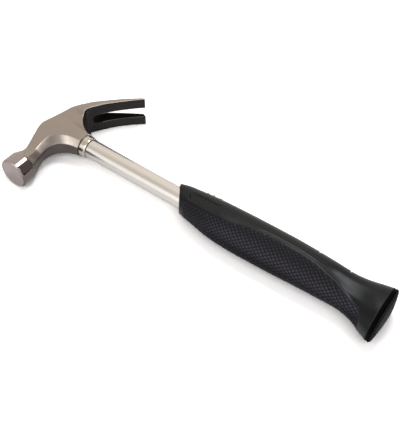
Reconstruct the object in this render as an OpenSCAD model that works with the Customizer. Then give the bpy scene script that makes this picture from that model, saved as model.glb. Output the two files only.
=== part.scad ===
// Claw hammer with a tubular steel shaft, lying on its side.
// The handle runs along X, the head along Y and the head's thickness along Z.
// Inside the modules the handle axis and the head axis cross at the origin, with the crown
// towards -X, the butt towards +X, the striking face towards -Y and the claw towards +Y.

/* [Head] */
// Handle axis to the striking face
face_reach = 64.4; // [60:0.5:68]
// Handle axis to the claw tips, measured across the handle
claw_reach = 68; // [63:0.5:74]
// Height of the crown above the head axis
crown_rise = 16.8; // [15.5:0.1:19]
// Head axis to the claw tips, measured along the handle
tip_drop = 40; // [36:0.5:44]
// Head axis to the mouth of the shaft socket
socket_drop = 26; // [24:0.5:29]
// Width of the socket mouth, across the throat and over the cheeks
socket_w = 20.6; // [20:0.2:23]
// Thickness of the head over the cheeks
cheek_t = 22.8; // [21.6:0.2:26]
// Width over the two claw tips
claw_w = 31.2; // [28:0.2:35]

/* [Bell and neck] */
// Diameter of the bell
bell_d = 28; // [26:0.2:31]
// Length of the bell, from the striking face to the neck
bell_len = 13.4; // [11:0.5:16]
// Width of the chamfer round the striking face
face_chamfer = 1.2; // [0.8:0.1:2.4]
// Width of the sloping shoulder behind the bell
bell_shoulder = 1.6; // [1:0.1:2.4]
// Width of the neck at its waist
neck_w = 15; // [13:0.5:17]
// Thickness of the neck at its waist
neck_t = 15.8; // [14:0.2:18]

/* [Nail slot] */
// Width of the slot on the underside of the claw, near its round end
slot_w = 9.2; // [8:0.2:10.4]
// Width of the slot on the underside of the claw, at the tips
slot_tip_w = 10.4; // [9.6:0.2:12]
// Width of the slot on top of the claw, at its narrow end
slot_apex_w = 1.6; // [1.2:0.1:2.4]
// Width of the slot on top of the claw, at the tips
slot_top_w = 8.4; // [7:0.2:9]

/* [Shaft tube] */
// Outer diameter of the tube
tube_d = 17.2; // [16.4:0.1:18.4]
// Wall thickness of the tube
tube_wall = 1.5; // [1.2:0.1:1.8]
// Diameter of the reduced end that enters the head
spigot_d = 14.4; // [13.6:0.1:15.2]
// Depth of the socket in the head, from its mouth
socket_depth = 33; // [28:0.5:35]
// Length of the widened chamber at the bottom of the socket
lock_len = 8; // [6:0.5:10]
// How much wider the chamber is than the socket, on each side
lock_step = 0.6; // [0.4:0.1:1]
// Length of the neck where the tube grows to its full diameter
swage_len = 6; // [4:0.5:9]

/* [Collar and plugs] */
// Length of the collar between the head and the tube's shoulder
collar_len = 7; // [5:0.5:9]
// Diameter of the collar at the head
collar_d = 20; // [19.4:0.1:21.6]
// Diameter of the collar at the tube
collar_tube_d = 18.6; // [18:0.1:20]
// Chamfer on the collar's two rims
collar_chamfer = 0.7; // [0.4:0.1:0.9]
// Length of the plug that spreads the tube in the head
plug_len = 15; // [12:0.5:18]
// Length of the plug that closes the lower end of the tube
end_plug_len = 14; // [10:0.5:20]
// Thickness of the end plug's flange
end_flange = 2.4; // [1.6:0.2:3.2]

/* [Grip] */
// Head axis to the middle of the grip's slanted front edge
grip_start = 131.5; // [124:0.5:140]
// Length of the grip
grip_len = 196.3; // [182:0.5:208]
// Width of the grip at its front edge
nose_w = 22.6; // [22:0.2:26]
// How far the front edge leans from one side of the grip to the other
nose_lean = 14.6; // [0:0.2:18]
// Width of the grip's body, in the plane of the head
grip_w = 36; // [34:0.5:39]
// Thickness of the grip's body, across the plane of the head
grip_t = 28.4; // [26:0.2:31]
// Width of the flared butt
butt_w = 47.4; // [44:0.2:52]
// Thickness of the flared butt
butt_t = 35; // [32:0.2:38]
// Rubber between the tube's end and the butt face
butt_wall = 7; // [5:0.5:10]
// Rounding of the butt's rim
butt_round = 2.6; // [2:0.2:4]
// Height of the butt's domed end above its rim
butt_dome = 2; // [1:0.2:4]
// Depth of the textured field below the smooth back
field_depth = 0.4; // [0.2:0.1:0.8]
// Height of the three ribs across the back
rib_rise = 0.7; // [0.3:0.1:1]
// Width of each rib
rib_w = 1.8; // [1:0.1:2.4]
// Depth of the two notches across the back
notch_depth = 0.9; // [0.4:0.1:1.2]
// Width of each notch
notch_w = 2.6; // [1.6:0.1:3.4]

/* [Fits] */
// Gap between the shaft parts and what they sit in
fit_gap = 0.1; // [0.05:0.05:0.2]

/* [Hidden] */

// Circles are drawn with this many sides
round_sides = 72;
// Steps of each curve between two rows of its table
curve_steps = 5;
// Cuts run this far past the faces that they open
overrun = 2;

// Narrowing of the locking plug and of the end plug's stem towards their inner ends
plug_taper = 0.6;

// Half sizes and places that several pieces share
bell_r = bell_d / 2;
socket_r = socket_w / 2;
tube_r = tube_d / 2;
spigot_r = spigot_d / 2;
neck_reach = face_reach - bell_len;
socket_floor = socket_drop - socket_depth;
shoulder_x = socket_drop + collar_len;
grip_end = grip_start + grip_len;
tube_end = grip_end - butt_wall - end_flange;
rest_height = max(butt_t, claw_w, bell_d) / 2;

// The neck, from inside the bell to its waist. Columns: distance from the handle axis as a
// share of neck_reach, how much of the flare towards the bell is left at the crown and at the
// throat, and the bevel at the crown as a share of the half width
neck_shares = [
    [1.01, 1.00, 1.00, 0.86],
    [0.92, 0.90, 0.66, 0.70],
    [0.845, 0.47, 0.36, 0.60],
    [0.765, 0.34, 0.13, 0.44]
];
// Size of the neck's end inside the bell, as shares of the bell's radius
neck_end_share = 0.88;
neck_end_thick_share = 0.91;
// The neck's bevel at the throat, as a share of its half width, and its depth, as a share of
// its half thickness
neck_throat_bevel_share = 0.72;
neck_bevel_depth_share = 0.48;
// How far in the rounded crown edge's middle lies, as a share of its bevel
corner_share = 0.29;

// The cheeks from the neck's waist to the socket mouth. Columns: crown height between the
// neck's and the head's, crown place from the handle axis to the neck's end, throat place
// between the neck's side and the socket mouth, throat place from the socket's side to the
// neck's end, half thickness at the crown and at the throat between the neck's and the
// cheek's, bevel at the crown, bevel at the throat and its depth as shares of the half
// thickness of the cheeks
throat_shares = [
    [0.27, 0.672, -0.03, 0.59, 0.14, 0.12, 0.22, 0.55, 0.36],
    [0.38, 0.578, -0.06, 0.47, 0.38, 0.34, 0.17, 0.56, 0.38],
    [0.52, 0.486, -0.03, 0.345, 0.62, 0.60, 0.12, 0.63, 0.42],
    [0.65, 0.398, 0.05, 0.240, 0.80, 0.80, 0.11, 0.68, 0.46],
    [0.82, 0.320, 0.21, 0.150, 0.91, 0.88, 0.12, 0.64, 0.49],
    [0.92, 0.255, 0.44, 0.075, 0.97, 0.84, 0.13, 0.54, 0.50],
    [0.98, 0.195, 0.71, 0.030, 1.00, 0.72, 0.14, 0.47, 0.50],
    [1.00, 0.140, 1.00, 0.000, 1.00, 0.60, 0.15, 0.43, 0.53]
];
// The cheeks from the socket mouth up to the claw. Columns: crown height from the crown to
// the tips' level, crown place from the handle axis to the tips, notch place as a share of
// the socket's drop, notch place from the socket's side to the tips, half thickness at the
// crown and at the notch between the cheek's and the claw's, bevel at the crown, bevel at
// the notch and its depth as shares of the half thickness of the cheeks
notch_shares = [
    [0.075, 0.135, 1.00, 0.000, 0.02, -0.30, 0.15, 0.43, 0.53],
    [0.095, 0.187, 0.79, 0.038, 0.10, -0.04, 0.14, 0.42, 0.48],
    [0.121, 0.245, 0.595, 0.088, 0.22, 0.14, 0.13, 0.34, 0.38],
    [0.153, 0.306, 0.42, 0.158, 0.38, 0.34, 0.10, 0.23, 0.27]
];
// The claw from the notch to the tips. The underside's height is a share of tip_drop, and
// the other columns are those of the notch
claw_shares = [
    [0.205, 0.375, 0.190, 0.236, 0.56, 0.86, 0.10, 0.11, 0.13],
    [0.278, 0.458, 0.220, 0.310, 0.66, 1.02, 0.10, 0.08, 0.09],
    [0.370, 0.555, 0.302, 0.406, 0.73, 1.05, 0.09, 0.07, 0.08],
    [0.485, 0.652, 0.426, 0.538, 0.79, 1.02, 0.09, 0.07, 0.08],
    [0.632, 0.768, 0.585, 0.676, 0.86, 0.94, 0.08, 0.06, 0.07],
    [0.795, 0.885, 0.790, 0.832, 0.93, 0.95, 0.07, 0.06, 0.07],
    [0.970, 1.000, 1.024, 0.992, 1.00, 1.00, 0.05, 0.05, 0.05]
];

// The grip. Columns: place as a share of the grip's length, half width towards the claw
// and towards the striking face as shares of half the width, half thickness as a share of
// half the thickness, first for the body and then for the flared butt, where the last column
// is how far the section has gone from the body's squareness to the butt's
grip_body_shares = [
    [0.042, 0.710, 0.705, 0.850],
    [0.094, 0.795, 0.798, 0.895],
    [0.157, 0.868, 0.930, 0.950],
    [0.230, 0.915, 1.026, 0.990],
    [0.325, 0.958, 1.060, 1.000],
    [0.429, 0.988, 1.040, 1.000],
    [0.534, 1.006, 0.996, 0.985],
    [0.639, 0.980, 0.939, 0.945],
    [0.733, 0.930, 0.907, 0.905],
    [0.806, 0.866, 0.902, 0.885]
];
grip_butt_shares = [
    [0.853, 0.672, 0.735, 0.745, 0.20],
    [0.893, 0.718, 0.835, 0.812, 0.45],
    [0.927, 0.768, 0.985, 0.892, 0.75],
    [0.957, 0.806, 1.100, 0.958, 1.00]
];
// Offset of the butt's middle towards the striking face, as a share of its half width
butt_offset_share = 0.16;
// Squareness of the section of the grip's body and of its butt, where 2 is an ellipse
grip_squareness = 2.4;
butt_squareness = 2.5;
// Half width of the front edge towards the claw, as a share of half the width there
nose_claw_share = 0.93;
// Share of the grip's length in which the front edge's lean dies out
lean_share = 0.32;
// Flat middle of the domed end, as a share of its width
butt_flat_share = 0.36;
// Edge between the smooth back and the textured field. Columns: place as a share of the
// grip's length, and angle from the claw side as a share of a half turn
field_edge_shares = [
    [0.022, 0.670],
    [0.053, 0.666],
    [0.196, 0.620],
    [0.276, 0.589],
    [0.323, 0.551],
    [0.387, 0.517],
    [0.432, 0.500],
    [0.489, 0.490],
    [0.582, 0.490],
    [0.646, 0.499],
    [0.710, 0.539],
    [0.773, 0.594],
    [0.837, 0.698],
    [0.869, 0.744],
    [0.916, 0.780]
];
// Line on the back that the sunk panel's edge follows, with the same columns. Behind the
// panel it runs on over the smooth back
panel_edge_shares = [[0.058, 0.530], [0.082, 0.448], [0.222, 0.455], [0.432, 0.340], [0.916, 0.560]];
// Places where the floors of the field and of the panel set in, reach their depth, leave it
// and end, as shares of the grip's length
field_floor_shares = [0.022, 0.036, 0.916, 0.924];
panel_floor_shares = [0.058, 0.065, 0.209, 0.222];
// Width of the slanting edges of both floors, as a share of a half turn
floor_slope_share = 0.014;
// Places of the ribs and notches across the back, as shares of the grip's length, and how
// far they reach round it to each side, as a share of a half turn
rib_place_shares = [0.121, 0.146, 0.176];
notch_place_shares = [0.646, 0.794];
band_reach_share = 0.25;
// Sides of half the grip's section on the back, the panel and the field, steps of its
// rounded rims and steps between two rows of its tables
back_sides = 7;
panel_sides = 2;
field_sides = 10;
rim_steps = 4;
grip_steps = 2;
// Rounding of the grip's front edge, as a share of the rubber's thickness there
nose_round_share = 0.45;

// Point on a smooth curve between b and c, where a and d are their neighbours
function smooth_point(a, b, c, d, t) =
    (2 * b + (c - a) * t + (2 * a - 5 * b + 4 * c - d) * t * t
    + (3 * b - a - 3 * c + d) * t * t * t) / 2;

// Smooth curve through rows of any length
function smooth_rows(rows, steps) = let(last = len(rows) - 1) [
    for (i = [0 : last - 1], j = [0 : steps - 1])
        smooth_point(rows[max(i - 1, 0)], rows[i], rows[i + 1],
            rows[min(i + 2, last)], j / steps),
    rows[last]
];

function unit(v) = v / norm(v);
function between(a, b, share) = a + (b - a) * share;
function sum(v) = len(v) == 0 ? 0 : v * [for (item = v) 1];

// The numbers of a list in rising order, each once
function sorted(v) = len(v) == 0 ? [] : let(pivot = v[floor(len(v) / 2)]) concat(
    sorted([for (x = v) if (x < pivot) x]),
    [pivot],
    sorted([for (x = v) if (x > pivot) x])
);

// Point at a place on a chain of points, where its ends run on straight
function along(points, place) =
    let(i = max(0, min(floor(place), len(points) - 2)))
    between(points[i], points[i + 1], place - i);

// Solid through a list of rings that have the same number of points
module loft(rings) {
    count = len(rings);
    sides = len(rings[0]);
    polyhedron(
        points = [for (ring = rings, point = ring) point],
        faces = concat(
            [[for (k = [0 : sides - 1]) k]],
            [for (i = [0 : count - 2], k = [0 : sides - 1])
                let(a = i * sides + k, b = i * sides + (k + 1) % sides)
                [a, a + sides, b]],
            [for (i = [0 : count - 2], k = [0 : sides - 1])
                let(a = i * sides + k, b = i * sides + (k + 1) % sides)
                [b, a + sides, b + sides]],
            [[for (k = [sides - 1 : -1 : 0]) (count - 1) * sides + k]]
        ),
        convexity = 10
    );
}

// Solid of revolution about the handle axis, from points [place along the handle, radius]
module turned(points) {
    rotate([0, 90, 0])
        rotate_extrude($fn = round_sides)
            polygon([for (p = points) [p[1], p[0]]]);
}

// A row of the head holds: crown x, crown y, underside x, underside y, half thickness at
// the crown and at the underside, bevel at the crown, bevel at the underside and its depth
function neck_row(s) = let(
    crown_half = between(neck_w / 2, bell_r * neck_end_share, s[1]),
    throat_half = between(neck_w / 2, bell_r * neck_end_share, s[2]),
    half_t = between(neck_t / 2, bell_r * neck_end_thick_share, s[2])
) [
    -crown_half, -neck_reach * s[0], throat_half, -neck_reach * s[0], half_t, half_t,
    crown_half * s[3], throat_half * neck_throat_bevel_share,
    half_t * neck_bevel_depth_share
];

function throat_row(s) = [
    -between(neck_w / 2, crown_rise, s[0]),
    -neck_reach * s[1],
    between(neck_w / 2, socket_drop, s[2]),
    -between(socket_r, neck_reach, s[3]),
    between(neck_t / 2, cheek_t / 2, s[4]),
    between(neck_t / 2, cheek_t / 2, s[5]),
    cheek_t / 2 * s[6], cheek_t / 2 * s[7], cheek_t / 2 * s[8]
];

function claw_row(s, drop) = [
    between(-crown_rise, tip_drop, s[0]),
    claw_reach * s[1],
    drop * s[2],
    between(socket_r, claw_reach, s[3]),
    between(cheek_t / 2, claw_w / 2, s[4]),
    between(cheek_t / 2, claw_w / 2, s[5]),
    cheek_t / 2 * s[6], cheek_t / 2 * s[7], cheek_t / 2 * s[8]
];

face_rows = smooth_rows(concat(
    [for (s = neck_shares) neck_row(s)],
    [for (s = throat_shares) throat_row(s)]
), curve_steps);
claw_rows = smooth_rows(concat(
    [for (s = notch_shares) claw_row(s, socket_drop)],
    [for (s = claw_shares) claw_row(s, tip_drop)]
), curve_steps);

// Ring of the head at row i. The bevels are set in from the outline, and at the socket
// mouth, which is row number mouth, they run straight towards its middle. The crown's bevel
// has a second facet, so that it reads as a rounded edge
function head_ring(rows, i, mouth, inward) = let(
    row = rows[i],
    before = rows[max(i - 1, 0)],
    after = rows[min(i + 1, len(rows) - 1)],
    crown_way = unit([after[0] - before[0], after[1] - before[1]]),
    under_way = unit([after[2] - before[2], after[3] - before[3]]),
    crown_in = [crown_way[1], -crown_way[0]],
    under_in = i == mouth ? [0, inward] : [-under_way[1], under_way[0]],
    crown_wall = [row[0], row[1]],
    under_wall = [row[2], row[3]],
    crown_edge = crown_wall + crown_in * row[6],
    crown_corner = crown_wall + crown_in * row[6] * corner_share,
    corner_z = row[4] - row[6] * corner_share,
    under_edge = under_wall + under_in * row[7],
    crown_z = row[4] - row[6],
    under_z = row[5] - row[8]
) [
    [crown_wall[0], crown_wall[1], crown_z],
    [crown_corner[0], crown_corner[1], corner_z],
    [crown_edge[0], crown_edge[1], row[4]],
    [under_edge[0], under_edge[1], row[5]],
    [under_wall[0], under_wall[1], under_z],
    [under_wall[0], under_wall[1], -under_z],
    [under_edge[0], under_edge[1], -row[5]],
    [crown_edge[0], crown_edge[1], -row[4]],
    [crown_corner[0], crown_corner[1], -corner_z],
    [crown_wall[0], crown_wall[1], -crown_z]
];

module head_body() {
    loft(concat(
        [for (i = [0 : len(face_rows) - 1])
            head_ring(face_rows, i, len(face_rows) - 1, 1)],
        [for (i = [0 : len(claw_rows) - 1])
            head_ring(claw_rows, i, 0, -1)]
    ));
}

module bell() {
    face_r = bell_r - face_chamfer;
    rotate([90, 0, 0])
        rotate_extrude($fn = round_sides)
            polygon([
                [0, neck_reach - bell_shoulder],
                [bell_r - bell_shoulder, neck_reach - bell_shoulder],
                [bell_r, neck_reach],
                [bell_r, face_reach - face_chamfer],
                [face_r, face_reach],
                [0, face_reach]
            ]);
}

// The nail slot starts this far along the claw, on its top and on its underside, as shares
// of the length from the socket's notch to the tips
slot_top_start_share = 0.705;
slot_under_start_share = 0.525;
// The round ends of the slot on top and on the underside, as shares of its length
slot_top_round_share = 0.04;
slot_under_round_share = 0.12;
slot_steps = 20;
slot_spacing = 1.7;
slot_end_share = 1.06;

function slot_half(w_start, w_end, share, round_share) =
    between(w_start, w_end, share) / 2
    * sqrt(1 - pow(1 - min(1, share / round_share), 2));

function slot_ring(share) = let(
    last = len(claw_rows) - 1,
    top_row = along(claw_rows, last * between(slot_top_start_share, 1, share)),
    under_row = along(claw_rows, last * between(slot_under_start_share, 1, share)),
    top = [top_row[0], top_row[1]],
    under = [under_row[2], under_row[3]],
    way = unit(under - top),
    top_half = slot_half(slot_apex_w, slot_top_w, share, slot_top_round_share),
    under_half = slot_half(slot_w, slot_tip_w, share, slot_under_round_share),
    slope = (under_half - top_half) / norm(under - top),
    top_out = top - way * overrun,
    under_out = under + way * overrun,
    top_z = max(top_half - slope * overrun, top_half / 2),
    under_z = under_half + slope * overrun
) [
    [top_out[0], top_out[1], top_z],
    [under_out[0], under_out[1], under_z],
    [under_out[0], under_out[1], -under_z],
    [top_out[0], top_out[1], -top_z]
];

module nail_slot() {
    loft([for (j = [1 : slot_steps]) slot_ring(slot_end_share * pow(j / slot_steps, slot_spacing))]);
}

module shaft_socket() {
    turned([
        [socket_floor, 0],
        [socket_floor, spigot_r + fit_gap + lock_step],
        [socket_floor + lock_len - lock_step, spigot_r + fit_gap + lock_step],
        [socket_floor + lock_len, spigot_r + fit_gap],
        [socket_drop + overrun, spigot_r + fit_gap],
        [socket_drop + overrun, 0]
    ]);
}

module hammer_head() {
    color([0.62, 0.58, 0.55])
        placed()
            difference() {
                union() {
                    head_body();
                    bell();
                }
                nail_slot();
                shaft_socket();
            }
}

// The tube is swaged to the spigot, spread again in the socket's chamber, and steps up to
// its full diameter at the collar
module shaft_tube() {
    flared_r = spigot_r + lock_step;
    color([0.80, 0.78, 0.74])
        placed()
            turned([
                [socket_floor + fit_gap, flared_r],
                [socket_floor + lock_len - lock_step, flared_r],
                [socket_floor + lock_len, spigot_r],
                [shoulder_x + fit_gap, spigot_r],
                [shoulder_x + fit_gap, tube_r - tube_wall / 4],
                [shoulder_x + fit_gap + tube_wall / 4, tube_r],
                [tube_end, tube_r],
                [tube_end, tube_r - tube_wall],
                [shoulder_x + swage_len, tube_r - tube_wall],
                [shoulder_x, spigot_r - tube_wall],
                [socket_floor + lock_len, spigot_r - tube_wall],
                [socket_floor + lock_len - lock_step, flared_r - tube_wall],
                [socket_floor + fit_gap, flared_r - tube_wall]
            ]);
}

module neck_collar() {
    bore_r = spigot_r + fit_gap;
    color([0.84, 0.81, 0.72])
        placed()
            turned([
                [socket_drop, bore_r],
                [socket_drop, collar_d / 2 - collar_chamfer],
                [socket_drop + collar_chamfer, collar_d / 2],
                [shoulder_x - collar_chamfer, collar_tube_d / 2],
                [shoulder_x, collar_tube_d / 2 - collar_chamfer],
                [shoulder_x, bore_r]
            ]);
}

// The plug's wide end stands on the socket's floor and holds the tube's mouth open
module locking_plug() {
    wide_r = spigot_r + lock_step - tube_wall - fit_gap;
    narrow_r = spigot_r - tube_wall - fit_gap;
    tip_r = narrow_r - plug_taper;
    color([0.45, 0.45, 0.47])
        placed()
            turned([
                [socket_floor, 0],
                [socket_floor, wide_r],
                [socket_floor + lock_len - lock_step, wide_r],
                [socket_floor + lock_len, narrow_r],
                [socket_floor + plug_len, tip_r],
                [socket_floor + plug_len, 0]
            ]);
}

// The end plug's flange covers the tube's end, and its stem sits in the tube
module tube_end_plug() {
    stem_r = tube_r - tube_wall - fit_gap;
    color([0.20, 0.20, 0.21])
        placed()
            turned([
                [tube_end - end_plug_len, 0],
                [tube_end - end_plug_len, stem_r - plug_taper],
                [tube_end - end_plug_len + plug_taper, stem_r],
                [tube_end, stem_r],
                [tube_end, tube_r],
                [tube_end + end_flange, tube_r],
                [tube_end + end_flange, 0]
            ]);
}

// A row of the grip holds: place on the handle, half width towards the claw and towards the
// striking face, half thickness and squareness. This is the point of its section at an
// angle from the claw side, raised by rise
function grip_point(row, angle, rise) = let(
    c = cos(angle),
    s = sin(angle),
    flat = 2 / row[4],
    across = sign(c) * pow(abs(c), flat),
    side = (c > 0 ? row[1] : row[2]) + rise
) [
    row[0] - nose_lean * side / nose_w * across * lean_left(row[0]),
    side * across,
    (row[3] + rise) * sign(s) * pow(abs(s), flat)
];

// How much of the front edge's lean is left at a place on the handle
function lean_left(x) = pow(max(0, 1 - (x - grip_start) / (grip_len * lean_share)), 2);

// Places on the handle for a list of shares of the grip's length
function grip_places(shares) = [for (share = shares) grip_start + grip_len * share];

// Places across a band: where it sets in, reaches its height, leaves it and ends
function band_places(share, wide) =
    [for (edge = [-1 / 2, -1 / 4, 1 / 4, 1 / 2]) grip_start + grip_len * share + wide * edge];

// Height of a band at x, which is zero outside it
function band_rise(x, share, wide, rise) = let(at = band_places(share, wide))
    lookup(x, [[at[0], 0], [at[1], rise], [at[2], rise], [at[3], 0]]);

// The ribs and notches at x, and the height of a floor there
function back_rise(x) =
    sum([for (share = rib_place_shares) band_rise(x, share, rib_w, rib_rise)])
    - sum([for (share = notch_place_shares) band_rise(x, share, notch_w, notch_depth)]);
function floor_rise(x, shares) = let(at = grip_places(shares))
    -lookup(x, [[at[0], 0], [at[1], field_depth], [at[2], field_depth], [at[3], 0]]);

// Angle of an edge line at x, from the claw side
function edge_angle(x, shares) = 180 * lookup((x - grip_start) / grip_len, shares);

// Half of the section at x as pairs of an angle from the claw side and a rise. It runs over
// the back, the panel and the field to the face side
function half_section(x) = let(
    slope = 180 * floor_slope_share,
    reach = 180 * band_reach_share,
    panel = edge_angle(x, panel_edge_shares),
    field = edge_angle(x, field_edge_shares)
) concat(
    [for (k = [0 : back_sides]) let(angle = panel * k / back_sides)
        [angle, angle > reach ? 0 : back_rise(x)]],
    [for (k = [0 : panel_sides])
        [between(panel + slope, field, k / panel_sides), floor_rise(x, panel_floor_shares)]],
    [for (k = [0 : field_sides])
        [between(field + slope, 180, k / field_sides), floor_rise(x, field_floor_shares)]]
);

// Ring of the grip, whose two halves are alike
function grip_ring(row) = let(half = half_section(row[0]), last = len(half) - 1) concat(
    [for (k = [0 : last]) grip_point(row, half[k][0], half[k][1])],
    [for (k = [last - 1 : -1 : 1]) grip_point(row, -half[k][0], half[k][1])]
);

// Rim and half sizes of the butt and of the front edge
butt_claw = butt_w / 2 * (1 - butt_offset_share);
butt_face = butt_w / 2 * (1 + butt_offset_share);
rim_x = grip_end - butt_dome;
nose_round = (nose_w / 2 - tube_r) * nose_round_share;
nose_claw = nose_w / 2 * nose_claw_share;

// The grip between its rounded rims, first as its tables give it and then with the rows
// that its details need
grip_table_rows = smooth_rows(concat(
    [[grip_start + nose_round, nose_claw, nose_w / 2, nose_w / 2, grip_squareness]],
    [for (s = grip_body_shares)
        [grip_start + grip_len * s[0], grip_w / 2 * s[1], grip_w / 2 * s[2],
            grip_t / 2 * s[3], grip_squareness]],
    [for (s = grip_butt_shares)
        [grip_start + grip_len * s[0], butt_w / 2 * s[1], butt_w / 2 * s[2],
            butt_t / 2 * s[3], between(grip_squareness, butt_squareness, s[4])]],
    [[rim_x - butt_round, butt_claw, butt_face, butt_t / 2, butt_squareness]]
), grip_steps);
grip_main_rows = [for (x = sorted(concat(
    [for (row = grip_table_rows) row[0]],
    grip_places(field_floor_shares),
    grip_places(panel_floor_shares),
    [for (share = rib_place_shares, x = band_places(share, rib_w)) x],
    [for (share = notch_place_shares, x = band_places(share, notch_w)) x]
))) grip_row_at(x)];

// Row of the grip at any place between its rims
function grip_row_at(x) =
    [for (column = [0 : 4]) lookup(x, [for (row = grip_table_rows) [row[0], row[column]]])];

function grip_rows() = concat(
    [for (j = [0 : rim_steps - 1])
        let(a = 90 * j / rim_steps, inset = nose_round * (1 - sin(a)))
        [grip_start + nose_round * (1 - cos(a)), nose_claw - inset, nose_w / 2 - inset,
            nose_w / 2 - inset, grip_squareness]],
    grip_main_rows,
    [for (j = [1 : rim_steps])
        let(a = 90 * j / rim_steps, inset = butt_round * (1 - cos(a)))
        [rim_x - butt_round * (1 - sin(a)), butt_claw - inset, butt_face - inset,
            butt_t / 2 - inset, butt_squareness]],
    [for (j = [1 : rim_steps])
        let(left = between(1, butt_flat_share, j / rim_steps))
        [grip_end - butt_dome * (left * left - butt_flat_share * butt_flat_share)
            / (1 - butt_flat_share * butt_flat_share),
            (butt_claw - butt_round) * left, (butt_face - butt_round) * left,
            (butt_t / 2 - butt_round) * left, butt_squareness]]
);

module rubber_grip() {
    color([0.07, 0.07, 0.08])
        placed()
            difference() {
                loft([for (row = grip_rows()) grip_ring(row)]);
                turned([
                    [grip_start - nose_lean, 0],
                    [grip_start - nose_lean, tube_r + fit_gap],
                    [tube_end + end_flange, tube_r + fit_gap],
                    [tube_end + end_flange, 0]
                ]);
            }
}

// Moves a piece from the crossing of the axes to the middle of the hammer's footprint
module placed() {
    translate([
        -(grip_end - crown_rise) / 2,
        -(claw_reach - face_reach) / 2,
        rest_height
    ])
        children();
}

hammer_head();
shaft_tube();
neck_collar();
locking_plug();
tube_end_plug();
rubber_grip();
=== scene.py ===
import math

import bmesh
import bpy
import numpy as np
from mathutils import Matrix, Vector


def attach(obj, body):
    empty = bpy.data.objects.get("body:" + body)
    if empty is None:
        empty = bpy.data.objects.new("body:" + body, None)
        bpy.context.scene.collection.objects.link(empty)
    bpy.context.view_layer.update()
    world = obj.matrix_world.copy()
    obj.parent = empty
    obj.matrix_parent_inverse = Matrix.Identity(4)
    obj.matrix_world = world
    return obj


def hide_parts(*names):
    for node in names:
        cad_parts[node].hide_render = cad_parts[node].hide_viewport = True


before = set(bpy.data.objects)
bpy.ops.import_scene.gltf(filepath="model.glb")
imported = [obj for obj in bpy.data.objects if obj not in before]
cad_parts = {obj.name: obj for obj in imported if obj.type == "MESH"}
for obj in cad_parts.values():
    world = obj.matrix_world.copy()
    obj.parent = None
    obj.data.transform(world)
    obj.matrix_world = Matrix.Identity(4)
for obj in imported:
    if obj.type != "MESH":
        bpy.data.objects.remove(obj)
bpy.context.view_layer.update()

# The working frame is that of the CAD source: millimetres, the handle's axis along X from the
# crown to the butt, the striking face towards -Y, the claw towards +Y, and the two axes
# crossing at the origin. SHIFT moves it to the row frame.
MM = 0.001
face_reach, claw_reach, crown_rise, tip_drop = 64.4, 68.0, 16.8, 40.0
socket_drop, socket_w, cheek_t, claw_w = 26.0, 20.6, 22.8, 31.2
bell_d, bell_len, face_chamfer, bell_shoulder = 28.0, 13.4, 1.2, 1.6
neck_w, neck_t = 15.0, 15.8
slot_w, slot_tip_w, slot_apex_w, slot_top_w = 9.2, 10.4, 1.6, 8.4
tube_d, tube_wall, spigot_d, socket_depth, swage_len = 17.2, 1.5, 14.4, 33.0, 6.0
lock_len, lock_step = 8.0, 0.6
collar_len, collar_d, collar_tube_d, collar_chamfer = 7.0, 20.0, 18.6, 0.7
end_flange, butt_wall = 2.4, 7.0
grip_start, grip_len, nose_w, nose_lean = 131.5, 196.3, 22.6, 14.6
grip_w, grip_t, butt_w, butt_t = 36.0, 28.4, 47.4, 35.0
butt_round, butt_dome, fit_gap = 2.6, 2.0, 0.1

bell_r, socket_r, tube_r, spigot_r = bell_d / 2, socket_w / 2, tube_d / 2, spigot_d / 2
bore_r = spigot_r + fit_gap
neck_reach = face_reach - bell_len
socket_floor = socket_drop - socket_depth
shoulder_x = socket_drop + collar_len
grip_end = grip_start + grip_len
tube_end = grip_end - butt_wall - end_flange
rest_height = max(butt_t, claw_w, bell_d) / 2
SHIFT = np.array([-(grip_end - crown_rise) / 2, -(claw_reach - face_reach) / 2, rest_height])

# Rings of the neck, from the bell: place, half width to the crown, half width to the throat
# and thickness, bevel at the crown
neck_shares = [
    [1.01, 1.00, 1.00, 0.86], [0.92, 0.90, 0.66, 0.70],
    [0.845, 0.47, 0.36, 0.60], [0.765, 0.34, 0.13, 0.44]]
neck_end_share, neck_end_thick_share = 0.88, 0.91
neck_throat_bevel_share, neck_bevel_depth_share = 0.72, 0.48
# Rings from the neck to the socket's mouth, from there to the claw, and along the claw: the
# crown line's x and y, the underside's x and y, the half thickness at each, the crown's bevel,
# and the underside's bevel along and across
throat_shares = [
    [0.27, 0.672, -0.03, 0.59, 0.14, 0.12, 0.22, 0.55, 0.36],
    [0.38, 0.578, -0.06, 0.47, 0.38, 0.34, 0.17, 0.56, 0.38],
    [0.52, 0.486, -0.03, 0.345, 0.62, 0.60, 0.12, 0.63, 0.42],
    [0.65, 0.398, 0.05, 0.240, 0.80, 0.80, 0.11, 0.68, 0.46],
    [0.82, 0.320, 0.21, 0.150, 0.91, 0.88, 0.12, 0.64, 0.49],
    [0.92, 0.255, 0.44, 0.075, 0.97, 0.84, 0.13, 0.54, 0.50],
    [0.98, 0.195, 0.71, 0.030, 1.00, 0.72, 0.14, 0.47, 0.50],
    [1.00, 0.140, 1.00, 0.000, 1.00, 0.60, 0.15, 0.43, 0.53]]
notch_shares = [
    [0.075, 0.135, 1.00, 0.000, 0.02, -0.30, 0.15, 0.43, 0.53],
    [0.095, 0.187, 0.79, 0.038, 0.10, -0.04, 0.14, 0.42, 0.48],
    [0.121, 0.245, 0.595, 0.088, 0.22, 0.14, 0.13, 0.34, 0.38],
    [0.153, 0.306, 0.42, 0.158, 0.38, 0.34, 0.10, 0.23, 0.27]]
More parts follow.
